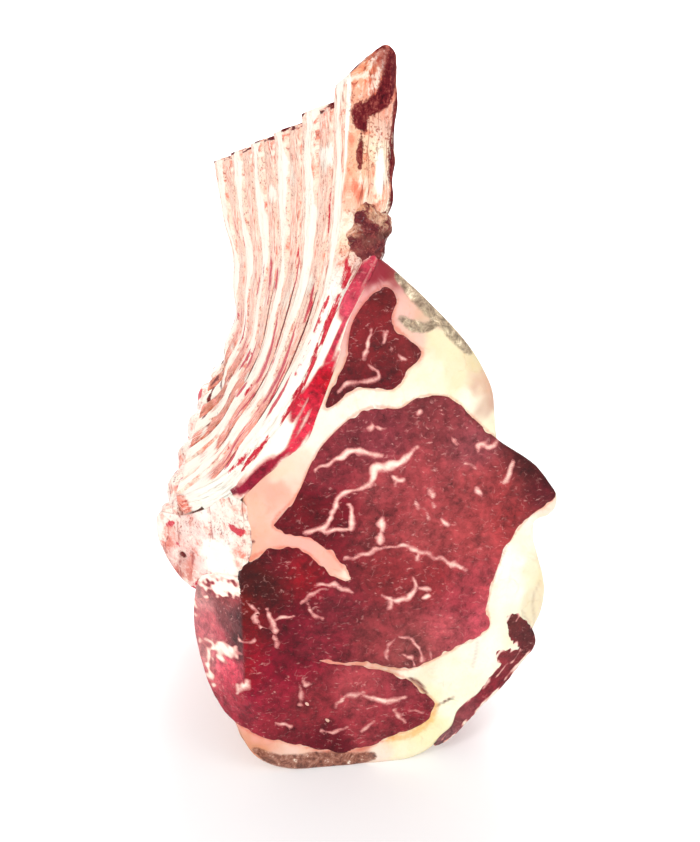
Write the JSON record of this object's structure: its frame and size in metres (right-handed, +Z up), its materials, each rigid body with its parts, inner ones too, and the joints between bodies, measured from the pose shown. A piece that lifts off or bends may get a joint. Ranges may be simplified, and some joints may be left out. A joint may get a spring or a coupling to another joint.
{
  "type": "raw beef rib roast",
  "caption": "Raw beef rib roast: long curved rib bones above a marbled cut eye of lean, with other muscles in cream fat, standing on its fat side.",
  "frame": {"origin": "under the middle of the roast, on the surface that it stands on", "axes": "+X to the right of the front cut face as one looks at it, +Y from the front cut face to the back one, +Z up along the rib bones"},
  "size_m": [0.2174, 0.248, 0.3733],
  "materials": {
    "backbone": "moist cut bone",
    "rib_bone": "moist bone under a thin membrane",
    "eye_lean": "moist raw lean with fine marbling",
    "lower_lean": "moist raw lean with fine marbling",
    "rib_end_lean": "moist dark raw lean",
    "rib_side_lean": "moist raw lean",
    "cap_strip_lean": "partly dried raw lean",
    "between_rib_lean": "raw lean under a thin membrane",
    "fat": "firm cream fat, satin"
  },
  "bodies": {
    "root": {"chine_bone": "backbone", "eye_muscle": "eye_lean", "lower_muscle": "lower_lean", "rib_end_muscle": "rib_end_lean", "rib_side_muscle": "rib_side_lean", "cap_strip_muscle": "cap_strip_lean", "upper_fat": "fat", "outer_fat": "fat", "rib_bone_1": "rib_bone", "rib_bone_2": "rib_bone", "rib_bone_3": "rib_bone", "rib_bone_4": "rib_bone", "rib_bone_5": "rib_bone", "rib_bone_6": "rib_bone", "between_ribs_1": "between_rib_lean", "between_ribs_2": "between_rib_lean", "between_ribs_3": "between_rib_lean", "between_ribs_4": "between_rib_lean", "between_ribs_5": "between_rib_lean"}
  },
  "joints": []
}
